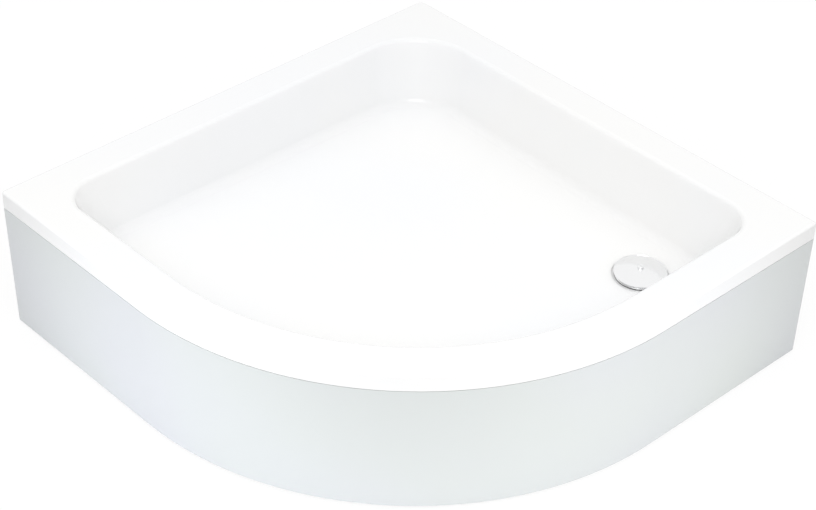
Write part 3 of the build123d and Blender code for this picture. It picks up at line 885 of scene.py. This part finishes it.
def white_floor():
    """Pale floor at Z = 0, white to the camera but for the shadow on it, and clear from below."""
    mesh = bpy.data.meshes.new("floor")
    corners = [(x * FLOOR_HALF, y * FLOOR_HALF, 0) for x, y in ((-1, -1), (1, -1), (1, 1), (-1, 1))]
    mesh.from_pydata(corners, [], [(0, 1, 2, 3)])
    floor = bpy.data.objects.new("floor", mesh)
    bpy.context.scene.collection.objects.link(floor)
    material = bpy.data.materials.new("floor")
    material.use_nodes = True
    tree = material.node_tree
    shader = tree.nodes["Principled BSDF"]
    shader.inputs["Base Color"].default_value = FLOOR_COLOUR
    shader.inputs["Roughness"].default_value = FLOOR_ROUGHNESS
    glow = tree.nodes.new("ShaderNodeEmission")
    glow.inputs["Color"].default_value = WHITE
    glow.inputs["Strength"].default_value = FLOOR_GLOW
    path = tree.nodes.new("ShaderNodeLightPath")
    share = tree.nodes.new("ShaderNodeMath")
    share.operation = "MULTIPLY"
    tree.links.new(path.outputs["Is Camera Ray"], share.inputs[0])
    share.inputs[1].default_value = FLOOR_GLOW_SHARE
    mix = tree.nodes.new("ShaderNodeMixShader")
    tree.links.new(share.outputs[0], mix.inputs["Fac"])
    tree.links.new(shader.outputs[0], mix.inputs[1])
    tree.links.new(glow.outputs[0], mix.inputs[2])
    from_below = tree.nodes.new("ShaderNodeNewGeometry")
    clear = tree.nodes.new("ShaderNodeBsdfTransparent")
    one_sided = tree.nodes.new("ShaderNodeMixShader")
    tree.links.new(from_below.outputs["Backfacing"], one_sided.inputs["Fac"])
    tree.links.new(mix.outputs[0], one_sided.inputs[1])
    tree.links.new(clear.outputs[0], one_sided.inputs[2])
    tree.links.new(one_sided.outputs[0], tree.nodes["Material Output"].inputs["Surface"])
    mesh.materials.append(material)


LAMP_SIZE = 1.6
SPOT_RADIUS = 0.15
# A lamp with a cone, in degrees, is a spot
LAMPS = {
    "front": {
        "place": (1.7, -1.7, 2.3), "aim": (0, 0, 0.2),
        "power": 22.0, "colour": (1, 1, 1),
    },
    "left": {
        "place": (-0.05, -2.45, 0.17), "aim": (-0.05, -0.45, 0.05),
        "power": 68.0, "cone": 28, "colour": (0.90, 0.93, 1.0),
    },
    "right": {
        "place": (2.45, 0.05, 0.17), "aim": (0.45, 0.05, 0.05),
        "power": 54.0, "cone": 29, "colour": (1, 1, 1),
    },
    "low": {
        "place": (1.7, -1.7, 0.1), "aim": (0.29, -0.29, -0.2),
        "power": 22.0, "cone": 20, "colour": (0.92, 0.95, 1.0),
    },
}


def lamps():
    """A broad lamp over the front, and soft spots on the apron's curves and low on its middle."""
    for name, lamp in LAMPS.items():
        if "cone" in lamp:
            data = bpy.data.lights.new(name, "SPOT")
            data.spot_size = math.radians(lamp["cone"])
            data.spot_blend = 1.0
            data.shadow_soft_size = SPOT_RADIUS
        else:
            data = bpy.data.lights.new(name, "AREA")
            data.size = LAMP_SIZE
        data.energy = lamp["power"]
        data.color = lamp["colour"]
        light = bpy.data.objects.new(name, data)
        light.location = lamp["place"]
        light.rotation_mode = "QUATERNION"
        towards = Vector(lamp["aim"]) - Vector(lamp["place"])
        light.rotation_quaternion = towards.to_track_quat("-Z", "Y")
        bpy.context.scene.collection.objects.link(light)


make_camera()
dress_cad_nodes()
detail_pieces()
white_world()
white_floor()
lamps()
bpy.context.scene.view_settings.view_transform = "Standard"
